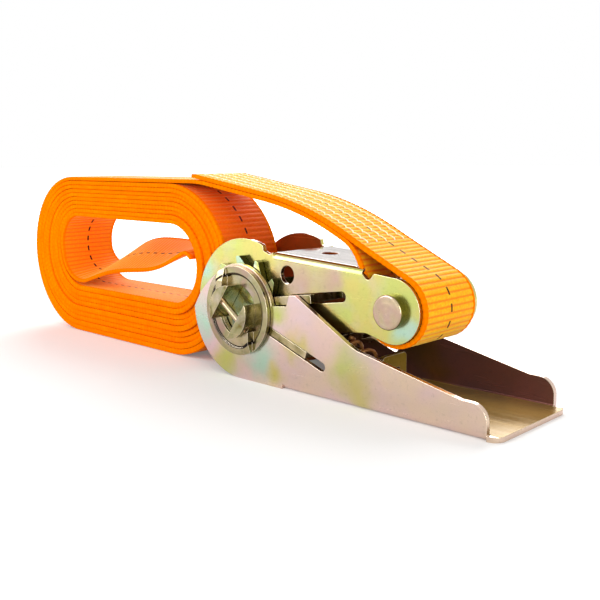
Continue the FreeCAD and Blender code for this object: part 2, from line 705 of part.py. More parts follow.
def strap_path():
    """Cut end, over to the rivet, round the roller and back under itself."""
    pin = pin_place()
    touch = tangent(STRAP_BEND, pin, LOOP_R, 1)
    upper = bend_path([CUT_END, STRAP_BEND + (STRAP_BEND_R,), touch])
    start = math.degrees(math.atan2(touch[1] - pin[1], touch[0] - pin[0]))
    loop = arc_piece(pin, LOOP_R, start, -(start + 180))
    gap = WEB_T + SEWN_GAP
    a, b = below(CUT_END, STRAP_BEND, gap)
    c, d = below(STRAP_BEND, touch, gap)
    bend = crossing(a, b, c, d)
    neck = crossing(c, d, (NECK_X, 0), (NECK_X, 1))
    top = HANK_TOP - WEB_T / 2
    join = crossing(a, b, (0, top), (1, top))
    side = pin[0] - LOOP_R
    lower = bend_path([(side, pin[1]), (side, pin[1] + NECK_RISE, NECK_R * 0.8),
                       neck + (NECK_R,), bend + (STRAP_BEND_R - gap,),
                       join + (STRAP_BEND_R,), (HANK_X0 + HANK_H / 2, top)])
    return upper, [loop], lower


def hank_path():
    """Flat spiral of wraps, then the last turn that crosses the middle."""
    top = HANK_TOP - WEB_T / 2
    low = FLOOR + HANK_LIFT + WEB_T / 2
    left = HANK_X0 + HANK_H / 2
    right = HANK_X1 - HANK_H / 2
    pieces = []
    for k in range(WRAPS):
        fall = arc_piece((left, (top + low) / 2), (top - low) / 2, 90, 180)
        top -= LAYER
        climb = arc_piece((right, (top + low) / 2), (top - low) / 2, -90, 180)
        low += LAYER + WRAP_SAG
        left += WRAP_EASE
        goal = left if k < WRAPS - 1 else left + INNER_EASE
        pieces += [fall, ("line", fall[2], climb[1]), climb]
        pieces.append(("line", climb[2], (goal, top)))
    turn_r = (top - low) / 2 - INNER_ROOM
    turn = (goal, top - turn_r)
    corner = (right + climb[4] - INNER_END_IN, low + (top - low) * INNER_END_RISE)
    touch = tangent(corner, turn, turn_r, 1)
    foot = math.degrees(math.atan2(touch[1] - turn[1], touch[0] - turn[0]))
    pieces.append(arc_piece(turn, turn_r, 90, foot % 360 - 90))
    pieces += bend_path([touch, corner + (INNER_END_R,), add(corner, INNER_TAIL)])
    return pieces


def path_length(pieces):
    total = 0.0
    for p in pieces:
        if p[0] == "line":
            total += math.hypot(p[2][0] - p[1][0], p[2][1] - p[1][1])
        else:
            total += p[4] * math.radians(abs(p[6]))
    return total


def edge_of(piece, off):
    """One edge of the band: the piece moved off to the left of its direction."""
    if piece[0] == "line":
        u = unit(piece[1], piece[2])
        n = (-u[1], u[0])
        a, b = add(piece[1], n, off), add(piece[2], n, off)
        return Part.LineSegment(vec(*a), vec(*b)).toShape()
    centre, r, start, sweep = piece[3:]
    r = r - off if sweep > 0 else r + off
    spots = [add(centre, polar(r, start + sweep * f)) for f in (0, 0.5, 1)]
    return Part.Arc(*[vec(*s) for s in spots]).toShape()


def band(pieces):
    """Webbing of constant thickness along a path, laid on edge."""
    pieces = [p for p in pieces if p[0] == "arc" or math.dist(p[1], p[2]) > 1e-5]
    first = [edge_of(p, WEB_T / 2) for p in pieces]
    second = [edge_of(p, -WEB_T / 2) for p in pieces]
    cap0 = Part.LineSegment(first[0].Vertexes[0].Point, second[0].Vertexes[0].Point)
    cap1 = Part.LineSegment(first[-1].Vertexes[-1].Point, second[-1].Vertexes[-1].Point)
    edges = first + [cap1.toShape()] + second[::-1] + [cap0.toShape()]
    face = Part.Face(Part.Wire(Part.__sortEdges__(edges)))
    face.translate(FreeCAD.Vector(0, -WEB_HALF, 0))
    return face.extrude(FreeCAD.Vector(0, WEB_W, 0))


def webbing():
    upper, loop, lower = strap_path()
    pieces = upper + loop + lower + hank_path()
    print("webbing length, mm:", round(path_length(pieces), 1))
    return band(pieces)


def zigzag(p, q, y, lift):
    """One row of stitching on the straight stretch from p to q."""
    u = unit(p, q)
    length = math.hypot(q[0] - p[0], q[1] - p[1])
    count = int(length / STITCH_PITCH * 2)
    step = length / count
    near, far = [], []
    for i in range(count + 1):
        side = STITCH_SWING if i % 2 else -STITCH_SWING
        near.append(FreeCAD.Vector(i * step, y + side - STITCH_W / 2, lift))
        far.append(FreeCAD.Vector(i * step, y + side + STITCH_W / 2, lift))
    ring = near + far[::-1]
    row = Part.Face(Part.makePolygon(ring + [ring[0]]))
    row = row.extrude(FreeCAD.Vector(0, 0, STITCH_H))
    row = tilt(row, math.degrees(math.atan2(u[1], u[0])))
    row.translate(vec(*p))
    return row


def stitching():
    """Rows that sew the folded end down, on the two straight stretches."""
    upper = strap_path()[0]
    rows = []
    for piece, lead in ((upper[0], 2.0), (upper[2], 0.5)):
        u = unit(piece[1], piece[2])
        a = add(piece[1], u, lead)
        b = piece[2] if piece is upper[0] else add(a, u, 12.0)
        for i in range(STITCH_ROWS):
            y = (i - (STITCH_ROWS - 1) / 2) * (WEB_W - 5) / (STITCH_ROWS - 0.4)
            rows.append(zigzag(a, b, y, WEB_T / 2))
    return Part.makeCompound(rows)


# ---------------------------------------------------------------- nodes

def build():
    wheel = ratchet_wheel()
    disc = retaining_disc()
    return {
        "frame": frame(),
        "rivet_pin": rivet_pin(),
        "rivet_washer": rivet_washer(),
        "frame_pawl": frame_pawl(),
        "frame_pawl_spring": frame_pawl_spring(),
        "mandrel_half_a": half_shaft(1),
        "mandrel_half_b": half_shaft(-1),
        "ratchet_wheel_near": wheel,
        "ratchet_wheel_far": mirrored(wheel),
        "retaining_disc_near": disc,
        "retaining_disc_far": mirrored(disc),
        "cross_pin_near": cross_pin(-CROSS_PIN_Y),
        "cross_pin_far": cross_pin(CROSS_PIN_Y),
        "handle": handle(),
        "handle_pawl": handle_pawl(),
        "handle_pawl_spring": handle_pawl_spring(),
        "loop_roller": loop_roller(),
        "webbing": webbing(),
        "stitching": stitching(),
    }


os.makedirs("parts", exist_ok=True)
for name, shape in build().items():
    print(name, "solids", len(shape.Solids), "valid", shape.isValid(),
          "volume", round(shape.Volume, 1))
    shape.exportStep("parts/" + name + ".step")
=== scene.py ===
import json
import math
from collections import namedtuple

import bpy
import numpy as np
from mathutils import Matrix, Vector


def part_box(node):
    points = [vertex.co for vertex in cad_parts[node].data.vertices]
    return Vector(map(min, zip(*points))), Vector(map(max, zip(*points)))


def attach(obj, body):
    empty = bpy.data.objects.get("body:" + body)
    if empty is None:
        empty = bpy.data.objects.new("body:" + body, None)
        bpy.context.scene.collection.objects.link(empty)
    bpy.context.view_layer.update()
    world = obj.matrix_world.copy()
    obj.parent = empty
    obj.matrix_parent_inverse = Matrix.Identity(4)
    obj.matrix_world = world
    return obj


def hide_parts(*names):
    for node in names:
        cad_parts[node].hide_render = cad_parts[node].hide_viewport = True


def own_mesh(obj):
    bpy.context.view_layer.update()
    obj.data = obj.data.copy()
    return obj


# Looks of the ratchet strap. The frame and every object are in metres. Sizes here are
# in millimetres, unless a comment says otherwise, and MM turns them into metres.
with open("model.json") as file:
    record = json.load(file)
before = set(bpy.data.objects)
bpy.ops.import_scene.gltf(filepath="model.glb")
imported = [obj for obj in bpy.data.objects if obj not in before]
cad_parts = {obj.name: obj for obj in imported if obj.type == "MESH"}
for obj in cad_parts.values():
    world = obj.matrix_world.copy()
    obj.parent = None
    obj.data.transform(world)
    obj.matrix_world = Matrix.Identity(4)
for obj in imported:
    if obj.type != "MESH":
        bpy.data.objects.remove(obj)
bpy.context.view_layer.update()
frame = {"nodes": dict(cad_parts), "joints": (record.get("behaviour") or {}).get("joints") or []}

MM = 0.001

# ---- camera, angles in degrees ----
CAMERA_AT = (201.9, -201.1, 49.17)
CAMERA_YAW = -43.72
CAMERA_PITCH = 9.59      # downwards
CAMERA_ROLL = -0.2
CAMERA_LENS = 50.316
CAMERA_SENSOR = 36.0
CAMERA_NEAR = 10.0

# ---- lamps: name, place, target, side of the square (all in metres) and watts ----
LAMPS = (("top_light", (-0.5, 0.65, 0.62), (-0.02, 0, 0), 0.9, 12.0),
         ("front_light", (-0.6, -0.75, 0.5), (0, 0, 0), 0.7, 6.0),
         ("side_light", (0.9, -0.35, 0.28), (0.05, 0, 0), 0.6, 5.0))

# ---- floor and world ----
FLOOR_REACH = 6.0        # metres, half the floor's side
FLOOR_DROP = 0.02        # below the handle, which rests on it
FLOOR_PALE = (0.8, 0.8, 0.8, 1)
FLOOR_SHOWN = (0.79, 0.785, 0.78, 1)     # as camera and reflections see it
GLOW_SPAN = (0.2, 0.7)   # metres from the origin over which the shown floor turns white
GLOW = (0.14, 1.0)
WORLD_LIGHT = 0.5        # strength of the world as a light
WORLD_SHOWN = 1.0        # and as the background

# ---- the webbing's route, as in the part's source except where a comment says so ----
WEB_W = 25.0
WEB_T = 1.4
CUT_END_X = -31.0
CUT_END_RISE = 1.33      # middle of the cut end above the top of the hank
STRAP_BEND_X = 23.5
STRAP_BEND_DROP = 7.07   # below the top of the hank
STRAP_BEND_R = 130.0     # a longer bend than the solid's
JOIN_R = 60.0            # where the lower layer comes level with the hank's top
SEWN_GAP = 0.1           # between the two sewn layers
NECK_LEAN = 118.0        # degrees, the lower layer's way up from the loop; only here
NECK_R = 13.0
NECK_RISE = 7.3          # loop's side above the rivet's axis
KNEE_R = NECK_R * 0.8    # where the lower layer leaves the loop's side
HANK_X0 = -142.2         # left end
HANK_X1 = -11.6          # right end
HANK_H = 64.8            # height
HANK_LIFT = 0.1          # floor to the hank
WRAPS = 9
WRAP_GAP = 0.22          # between wraps along the top
WRAP_SAG = 0.55          # extra room for each wrap along the bottom
WRAP_EASE = 0.5          # extra room for each wrap at the left end
INNER_ROOM = 1.15        # last turn, inside the hank, to the wraps round it
INNER_EASE = -0.7        # last turn's middle from that of the wraps
INNER_END_IN = 4.7       # right end of the crossing run, in from the wraps
INNER_END_RISE = 0.7     # its height, as a share of the eye's
INNER_END_R = 5.0
INNER_TAIL = (1.5, -12.0)
LOOP_GAP = 0.25          # between the roller and the webbing
SHORTEST_RUN = 1e-5

# ---- lie of the band ----
TUCK = 8.0               # the inner end's last bit, out of sight against the wraps
SNUG = 1.0               # the loop sits against the near cheek
SNUG_SPAN = (20.0, 50.0)
SWELL_IN = 120.0         # lengths over which the wraps fill the room between them
SWELL_OUT = 60.0
SWELL_EARLY = 12.0       # end of the filling, before the end of the last turn
SWELL_PLAY = 0.02
DRIFT_IN = 150.0         # length over which the sideways wander begins
DRIFT_WAVES = ((61.0, 0.0, 0.28), (143.0, 1.0, 0.3))     # length, phase and height
TAIL_START = 102.0       # the crossing run, as distances from the band's inner end
TAIL_STOP = 8.0
LIFT_STOP = 25.0
TAIL_TWIST = 28.0        # degrees
TAIL_LIFT = 5.0

# ---- weave ----
RIB = 1.9                # pitch of the cross ribs
RIB_DEPTH = 0.24
# cross sections in a rib: share of the pitch, and share of the groove's depth
RIB_STATIONS = ((0.0, 1.0), (0.17, 0.55), (0.36, 0.08), (0.64, 0.0), (0.83, 0.5))
# rounding of the edge: in from the edge, and share of half the thickness
EDGE_PROFILE = ((0.0, 0.0), (0.02, 0.72), (0.08, 0.92), (0.28, 0.99), (1.2, 1.0))
MIDDLE_SPANS = 5         # faces from the middle to the edge
SELVEDGE = 1.3           # width of the selvedge's material
EDGE_SMOOTH = 1.0        # width of the edge where the ribs are shallower
EDGE_RIB = 0.3           # their depth there, as a share
EDGE_SCALLOP = 0.05      # how far the edge draws in at each groove
SCALLOP_W = 0.7          # and over which width
ROUND_OFF = 1.1          # how soon the ribs reach their depth on the rounded edge
MARKER_HALF = 0.36       # half width of the dark marker yarn
MARKER_CYCLE = 25        # stations in five ribs, with a float in each of these spans
MARKER_FLOATS = ((1, 7), (13, 19))
YARN = 0.62              # pitch of the yarns across the band
PICK = 0.95              # and along it
SHEEN_ROUGHNESS = 0.42
SHEEN_TINT = (1.0, 0.95, 0.3, 1)
FADE_SPAN = 40.0         # length over which the band's tone changes

# ---- changes of the orange's green share, up for yellower and down for redder ----
STREAK = 0.08
CLOUD = -0.05
STRAP_PAINTED_LIGHT = 0.2              # along the strap, painted light
WRAP_PAINTED_SHADE = -0.15             # on the outermost wrap, painted shade
GRAIN = -0.07
# painted shade in the grooves between the ribs
SHADE_BETWEEN_RIBS = -0.16

# ---- stitches ----
STITCH_ROWS = 5
STITCH_START = 2.0       # from the cut end
SEWN_LENGTH = 81.0       # from the cut end to the last stitch
STITCH_PITCH = 3.2       # a whole zigzag
STITCH_GAP = 20.0 / 4.6  # between rows
STITCH_SWING = 0.4       # to each side
STITCH_ARCH = 0.22
STITCH_SINK = 0.12       # how deep the ends of a stitch go in
THREAD_R = 0.22
LOOSE_AT = 21.0          # the loose thread, from the cut end
LOOSE_THREAD = ((-1.5, 4.0, 0.0), (-1.0, 4.3, 0.5), (0.2, 4.1, 1.1), (1.6, 4.8, 1.0),
                (2.8, 4.4, 0.5), (3.6, 5.0, 0.7))        # along, across and up

# ---- springs ----
SPRING_OD = 8.0
SPRING_WIRE = 1.2
SPRING_STEPS = 28        # points in a turn
SPRING_SIDES = 10
SPRING_CLOSE = 0.6       # how far the end turns are closed, 1 for quite flat

# ---- metal ----
RIM_R = 0.25             # rounding of sheet edges
WALL_SKIN = 1.35         # from a sheet's outer face to just short of its inner one
BASE_SKIN = 1.4
WHOLE_HEIGHT = -30.0     # below every piece
DISC_SHADE_LINE = 12.2       # radius of the line of painted shade on the disc
GROOVE_EDGE = (0.5, 0.36)        # from its middle, where it starts and is full
STIR = 14.0              # wander of the plating tints' outlines

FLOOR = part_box("handle")[0].z / MM
pin_low, pin_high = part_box("rivet_washer")
PIN = ((pin_low.x + pin_high.x) / 2 / MM, (pin_low.z + pin_high.z) / 2 / MM)
roller_low, roller_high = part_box("loop_roller")
LOOP_R = (roller_high.x - roller_low.x) / 2 / MM + LOOP_GAP + WEB_T / 2
LAYER = WEB_T + WRAP_GAP
HANK_TOP = FLOOR + HANK_LIFT + HANK_H
CUT_END = (CUT_END_X, HANK_TOP + CUT_END_RISE)
STRAP_BEND = (STRAP_BEND_X, HANK_TOP - STRAP_BEND_DROP)


# ---------------------------------------------------------------- camera and light

def link(thing):
    """Put an object into the scene."""
    bpy.context.scene.collection.objects.link(thing)


def make_camera():
    """Camera at the photo's viewing angle, fitted to the round and straight edges."""
    angles = (CAMERA_YAW, CAMERA_PITCH, CAMERA_ROLL)
    yaw, pitch, roll = (math.radians(a) for a in angles)
    ahead = Vector((math.sin(yaw) * math.cos(pitch), math.cos(yaw) * math.cos(pitch),
                    -math.sin(pitch)))
    right = Vector((math.cos(yaw), -math.sin(yaw), 0))
    up = right.cross(ahead)
    turned = right * math.cos(roll) + up * math.sin(roll)
    raised = up * math.cos(roll) - right * math.sin(roll)
    data = bpy.data.cameras.new("camera")
    data.lens = CAMERA_LENS
    data.sensor_width = CAMERA_SENSOR
    data.clip_start = CAMERA_NEAR * MM
    camera = bpy.data.objects.new("camera", data)
    axes = Matrix((turned, raised, -ahead)).transposed().to_4x4()
    camera.matrix_world = Matrix.Translation(Vector(CAMERA_AT) * MM) @ axes
    link(camera)
    bpy.context.scene.camera = camera


def make_lamp(name, place, target, size, power):
    """Square soft light in metres and watts, turned to its target."""
    data = bpy.data.lights.new(name, "AREA")
    data.shape = "SQUARE"
    data.size = size
    data.energy = power
    lamp = bpy.data.objects.new(name, data)
    lamp.location = place
    aim = Vector(target) - Vector(place)
    lamp.rotation_euler = aim.to_track_quat("-Z", "Y").to_euler()
    link(lamp)


# ---------------------------------------------------------------- shader helpers

class Nodes:
    """A node tree built by calls that return the nodes' output sockets."""

    def __init__(self, tree):
        self.tree = tree

    def node(self, kind, inputs=None, **settings):
        made = self.tree.nodes.new(kind)
        for key, value in settings.items():
            setattr(made, key, value)
        for key, value in (inputs or {}).items():
            self.feed(made.inputs[key], value)
        return made

    def feed(self, socket, value):
        if isinstance(value, bpy.types.NodeSocket):
            self.tree.links.new(value, socket)
        else:
            socket.default_value = value

    def math(self, operation, a, b=0.0):
        return self.node("ShaderNodeMath", {0: a, 1: b}, operation=operation).outputs[0]

    def vector(self, operation, a, b):
        return self.node("ShaderNodeVectorMath", {0: a, 1: b},
                         operation=operation).outputs["Vector"]

    def length(self, vector):
        return self.node("ShaderNodeVectorMath", {0: vector},
                         operation="LENGTH").outputs["Value"]

    def parts(self, vector):
        return self.node("ShaderNodeSeparateXYZ", {0: vector}).outputs

    def between(self, value, low, high, to_low=0.0, to_high=1.0, kind="LINEAR"):
        inputs = {"Value": value, "From Min": low, "From Max": high,
                  "To Min": to_low, "To Max": to_high}
        made = self.node("ShaderNodeMapRange", inputs, interpolation_type=kind)
        return made.outputs[0]

    def place(self):
        return self.node("ShaderNodeTexCoord").outputs["Object"]

    def seen_rays(self):
        """1 for rays that show the background: camera, glossy and transmission rays."""
        path = self.node("ShaderNodeLightPath").outputs
        seen = path["Is Camera Ray"]
        for name in ("Is Glossy Ray", "Is Transmission Ray"):
            seen = self.math("MAXIMUM", seen, path[name])
        return seen


class Shader(Nodes):
    """A material round one Principled shader."""

    def __init__(self, name):
        self.material = bpy.data.materials.new(name)
        self.material.use_nodes = True
        super().__init__(self.material.node_tree)
        self.surface = self.tree.nodes["Principled BSDF"]

    def off_axis(self, place, centre):
        """Distance from a line across the width, through centre (x, z) in mm."""
        out = self.vector("SUBTRACT", place, (centre[0] * MM, 0, centre[1] * MM))
        return self.length(self.vector("MULTIPLY", out, (1, 0, 1)))

    def spots(self, vector, scale, detail=2.0, distortion=0.0):
        inputs = {"Vector": vector, "Scale": scale, "Detail": detail,
                  "Distortion": distortion}
        return self.node("ShaderNodeTexNoise", inputs).outputs["Fac"]

    def ramp(self, value, stops):
        made = self.node("ShaderNodeValToRGB", {"Fac": value})
        bar = made.color_ramp.elements
        while len(bar) < len(stops):
            bar.new(0.5)
        for element, (at, colour) in zip(bar, stops):
            element.position = at
            element.color = (*linear(colour), 1)
        return made.outputs["Color"]

    def mix(self, share, a, b, blend="MIX"):
        """Mix of two colours, each a socket or a display colour."""
        made = self.node("ShaderNodeMix", data_type="RGBA", blend_type=blend)
        self.feed(made.inputs["Factor"], share)
        for key, value in ((6, a), (7, b)):
            plain = isinstance(value, tuple)
            self.feed(made.inputs[key], (*linear(value), 1) if plain else value)
        return made.outputs[2]

    def stretched(self, vector, factors):
        inputs = {"Vector": vector, "Scale": factors}
        return self.node("ShaderNodeMapping", inputs).outputs[0]

    def bump(self, height, depth, strength=1.0, below=None):
        inputs = {"Height": height, "Distance": depth, "Strength": strength}
        if below is not None:
            inputs["Normal"] = below
        return self.node("ShaderNodeBump", inputs).outputs[0]

    def finish(self, **inputs):
        for key, value in inputs.items():
            self.feed(self.surface.inputs[key.replace("_", " ")], value)
        return self.material


def linear(colour):
    """Display colour, 0 to 1, as the linear values that a shader takes."""
    return tuple(c / 12.92 if c <= 0.04045 else ((c + 0.055) / 1.055) ** 2.4
                 for c in colour)


# ---------------------------------------------------------------- metal

GREEN = (0.74, 0.76, 0.43)
YELLOW = (0.79, 0.74, 0.43)
PINK = (0.85, 0.74, 0.70)
ROSE = (0.73, 0.62, 0.55)
BLUE = (0.68, 0.80, 0.72)
LILAC = (0.77, 0.71, 0.72)
MAUVE = (0.83, 0.74, 0.77)
PEACH = (0.86, 0.77, 0.65)
SAND = (0.82, 0.76, 0.60)
MOSS = (0.60, 0.58, 0.42)
KHAKI = (0.72, 0.66, 0.52)
UMBER = (0.64, 0.54, 0.48)
OLIVE = (0.46, 0.42, 0.22)
# painted reflection on the up-facing top of the frame's web
WEB_TOP_REFLECTION = (0.60, 0.55, 0.52)
# painted shade on the side faces of the ratchet teeth
FLANK_SHADE_DARK = (0.24, 0.23, 0.12)
# painted shade inside the channels; the frame's orange is also a painted reflection of the
# webbing
FLOOR_SHADE_GOLD = (0.59, 0.46, 0.12)
WALL_SHADE_BROWN = (0.38, 0.14, 0.03)
ORANGE_SHADE_REFLECTION = (0.66, 0.27, 0.07)
STAIN = (0.62, 0.66, 0.60)
# painted highlight on rounded edges, partly edge wear
RIM_HIGHLIGHT = (0.93, 0.87, 0.78)
# painted shade of the disc's line round the mandrel, and the colour of small specks
DARK_SPECK_AND_SHADE = (0.12, 0.09, 0.06)
WIRE_DULL = (0.64, 0.36, 0.17)
WIRE_BRIGHT = (0.98, 0.74, 0.46)

# base tones of the plating, as the stops of a ramp
PLAIN = ((0.35, GREEN), (0.50, YELLOW), (0.62, GREEN))
BLUSH = ((0.35, PEACH), (0.50, PINK), (0.62, MAUVE))
TOOTH = ((0.35, BLUE), (0.50, GREEN), (0.65, BLUE))
BAR = ((0.35, KHAKI), (0.50, MOSS), (0.60, OLIVE), (0.68, KHAKI))
RING = ((0.35, KHAKI), (0.50, MOSS), (0.65, UMBER))
HEAD = ((0.35, SAND), (0.50, ROSE), (0.62, KHAKI))
DRIVER = ((0.4, OLIVE), (0.6, SAND))

# tints of the sheets: x, z, reach and tone
FRAME_TINTS = ((23, 11, 12, ROSE), (37, 13, 10, ROSE), (64, 1, 5, BLUE),
               (-21, 12, 8, BLUE), (-10, 20, 7, GREEN), (45, 12, 6, YELLOW),
               (61, 8, 7, GREEN))
HANDLE_TINTS = ((10, -14.5, 10, BLUE), (-4, -15, 9, GREEN), (-19, -5, 9, BLUE),
                (-8, -19, 8, GREEN), (48, -12, 9, GREEN), (17, 2, 7, GREEN),
                (17, -20, 6, YELLOW), (52, -18, 8, YELLOW), (26, -8, 7, YELLOW))


def patches(s, place, base, tints, size):
    """Plating colour: clouds of the base tones, and stronger tints at their places."""
    colour = s.ramp(s.spots(place, size, 3.0, 0.6), base)
    stir = s.node("ShaderNodeTexNoise", {"Vector": place, "Scale": 90.0, "Detail": 2.0})
    stir = s.vector("SUBTRACT", stir.outputs["Color"], (0.5, 0.5, 0.5))
    moved = s.vector("ADD", place, s.vector("MULTIPLY", stir, (STIR * MM,) * 3))
    for x, z, reach, tone in tints:
        away = s.off_axis(moved, (x, z))
        share = s.between(away, reach * 1.15 * MM, 0.0, 0.0, 1.0, "SMOOTHSTEP")
        colour = s.mix(share, colour, tone)
    haze = s.spots(place, size * 3.1, 4.0, 0.3)
    return s.mix(s.between(haze, 0.5, 0.74, 0.0, 0.3), colour, LILAC)


def painted_channel_shade(s, place, across, colour, channel):
    """Painted shade and painted reflection on the inside of a channel, with random
    blotches, and how metallic it looks.
    """
    half, floor, wall_shade, floor_shade = channel
    _, y, z = s.parts(place)
    within = s.math("LESS_THAN", s.math("ABSOLUTE", y), half * MM)
    above = s.math("GREATER_THAN", z, floor * MM)
    inside = s.math("MULTIPLY", within, above)
    side = s.between(s.math("ABSOLUTE", across), 0.4, 0.7)
    tone = s.mix(side, floor_shade, wall_shade)
    stain = s.between(s.spots(place, 55.0, 3.0, 0.8), 0.38, 0.62, 0.0, 0.45)
    tone = s.mix(stain, tone, STAIN, "MULTIPLY")
    colour = s.mix(s.math("MULTIPLY", inside, 0.9), colour, tone)
    return colour, s.between(inside, 0, 1, 1.0, 0.35)


def painted_rim_highlight(s, soft, colour):
    """Painted highlight, partly edge wear: brighter plating where the rounded normal
    leaves the true one.
    """
    true = s.node("ShaderNodeNewGeometry").outputs["Normal"]
    turn = s.node("ShaderNodeVectorMath", {0: soft, 1: true}, operation="DOT_PRODUCT")
    rim = s.between(turn.outputs["Value"], 0.98, 0.86, 0.0, 0.8)
    return s.mix(rim, colour, RIM_HIGHLIGHT)


def turning_marks(s, place, centre, normal):
    """Fine rings round a centre (x, z) in mm, on top of the normal given."""
    turned = s.vector("SUBTRACT", place, (centre[0] * MM, 0, centre[1] * MM))
    inputs = {"Vector": turned, "Scale": 190.0, "Distortion": 0.6, "Detail": 1.0}
    wave = s.node("ShaderNodeTexWave", inputs, wave_type="RINGS", rings_direction="Y")
    return s.bump(wave.outputs["Fac"], 0.05 * MM, 0.4, normal)


def zinc(name, base, tints=(), size=40.0, roughness=0.2, shaded_flank=None, web=None,
         channel=None, rings=None, groove=None):
    """Yellow zinc plating on rolled sheet. Optional tones: shaded_flank, painted shade for
    faces across the width, which then get no painted rim highlight; web, a painted
    reflection on the up-facing top of the web; and channel (half width, floor height,
    wall tone, floor tone), painted shade and painted reflection on the inside of a
    channel. rings is the centre of turning marks and groove the radius of a line of
    painted shade round the mandrel."""
    s = Shader(name)
    place = s.place()
    facing = s.node("ShaderNodeTexCoord").outputs["Normal"]
    _, across, up = s.parts(facing)
    grain = s.spots(s.stretched(place, (30, 420, 420)), 1.0, 3.0)
    rough = s.between(grain, 0.3, 0.7, roughness - 0.05, roughness + 0.09)
    colour = patches(s, place, base, tints, size)
    metal = 1.0
    # painted shade and painted reflection inside a channel
    if channel:
        colour, metal = painted_channel_shade(s, place, across, colour, channel)
    # painted reflection: a grey tone on the up-facing top of the web
    if web:
        top = s.between(up, 0.75, 0.95)
        colour = s.mix(top, colour, web)
        metal = s.math("MAXIMUM", metal, top)
        rough = s.math("MULTIPLY", rough, s.between(top, 0, 1, 1.0, 0.4))
    # painted shade on faces across the width
    if shaded_flank:
        side = s.between(s.math("ABSOLUTE", across), 0.7, 0.4)
        colour = s.mix(side, colour, shaded_flank)
    # painted shade: a line round the mandrel on the disc
    if groove:
        off = s.math("SUBTRACT", s.off_axis(place, (0, 0)), groove * MM)
        line = s.between(s.math("ABSOLUTE", off), *(edge * MM for edge in GROOVE_EDGE))
        colour = s.mix(line, colour, DARK_SPECK_AND_SHADE)
    speck = s.between(s.spots(place, 900.0, 2.0), 0.28, 0.42, 0.12, 0.0)
    colour = s.mix(speck, colour, DARK_SPECK_AND_SHADE)
    soft = s.node("ShaderNodeBevel", {"Radius": RIM_R * MM}, samples=8).outputs[0]
    # painted highlight on rounded edges, partly edge wear
    if not shaded_flank:
        colour = painted_rim_highlight(s, soft, colour)
    normal = s.bump(grain, 0.02 * MM, 0.35, soft)
    if rings:
        normal = turning_marks(s, place, rings, normal)
    return s.finish(Base_Color=colour, Metallic=metal, Roughness=rough, Normal=normal,
                    Specular_IOR_Level=0.05)


def wire_metal(name, dull, bright):
    """Plated spring wire in clouds of two tones, with fine drawing marks."""
    s = Shader(name)
    place = s.place()
    cloud = s.spots(place, 260.0, 2.0)
    colour = s.ramp(cloud, ((0.3, dull), (0.7, bright)))
    rough = s.between(s.spots(place, 900.0), 0.3, 0.7, 0.26, 0.42)
    normal = s.bump(s.spots(s.stretched(place, (2, 1, 1)), 1500.0), 0.01 * MM, 0.4)
    return s.finish(Base_Color=colour, Metallic=0.5, Roughness=rough, Normal=normal)


def dress_metal():
    """Give every CAD node that stays its plating."""
    handle_in = abs(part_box("handle")[0].y) / MM - WALL_SKIN
    frame_in = abs(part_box("frame")[0].y) / MM - WALL_SKIN
    metals = {
        # channel tones: painted shade, and inside the frame also painted reflection of the
        # webbing
        "frame": zinc("zinc_frame", PLAIN, FRAME_TINTS, web=WEB_TOP_REFLECTION,
                      channel=(frame_in, WHOLE_HEIGHT, ORANGE_SHADE_REFLECTION, ORANGE_SHADE_REFLECTION)),
        "handle": zinc("zinc_handle", BLUSH, HANDLE_TINTS, size=26.0,
                       channel=(handle_in, FLOOR + BASE_SKIN, WALL_SHADE_BROWN, FLOOR_SHADE_GOLD)),
        "retaining_disc_near": zinc("zinc_disc", RING, size=90.0, groove=DISC_SHADE_LINE),
        "ratchet_wheel_near": zinc("zinc_wheel", TOOTH, size=90.0, shaded_flank=FLANK_SHADE_DARK),
        "mandrel_half_a": zinc("zinc_mandrel", BAR, size=110.0),
        "frame_pawl": zinc("zinc_pawl", BAR, size=70.0),
        "handle_pawl": zinc("zinc_driver", DRIVER, size=70.0),
        "cross_pin_near": zinc("zinc_pin", HEAD, roughness=0.15),
        # the rivet's side faces get OLIVE as painted shade
        "rivet_pin": zinc("zinc_rivet", HEAD, size=80.0, rings=PIN, shaded_flank=OLIVE),
    }
    same = {"retaining_disc_far": "retaining_disc_near",
            "ratchet_wheel_far": "ratchet_wheel_near",
            "mandrel_half_b": "mandrel_half_a", "cross_pin_far": "cross_pin_near",
            "rivet_washer": "rivet_pin", "loop_roller": "mandrel_half_a"}
    for node, other in same.items():
        metals[node] = metals[other]
    for node, material in metals.items():
        frame["nodes"][node].material_slots[0].material = material


# ---------------------------------------------------------------- pieces

def new_piece(name, points, faces):
    """A smooth mesh object from points in mm."""
    mesh = bpy.data.meshes.new(name)
    mesh.from_pydata([tuple(c * MM for c in p) for p in points], [], faces)
    mesh.validate()
    mesh.update()
    mesh.shade_smooth()
    piece = bpy.data.objects.new(name, mesh)
    link(piece)
    return piece


def tube_faces(rings, n):
    """Quads between rings of n points, and then the two end caps."""
    last = (rings - 1) * n
    faces = [(i + k, i + (k + 1) % n, i + (k + 1) % n + n, i + k + n)
             for i in range(0, last, n) for k in range(n)]
    return faces + [tuple(range(n))[::-1], tuple(range(last, last + n))]


def add_spline(data, kind, spots):
    """A spline through points in mm."""
    spline = data.splines.new(kind)
    spline.points.add(len(spots) - 1)
    for point, spot in zip(spline.points, spots):
        point.co = (*(c * MM for c in spot), 1)
    return spline


# ---------------------------------------------------------------- springs

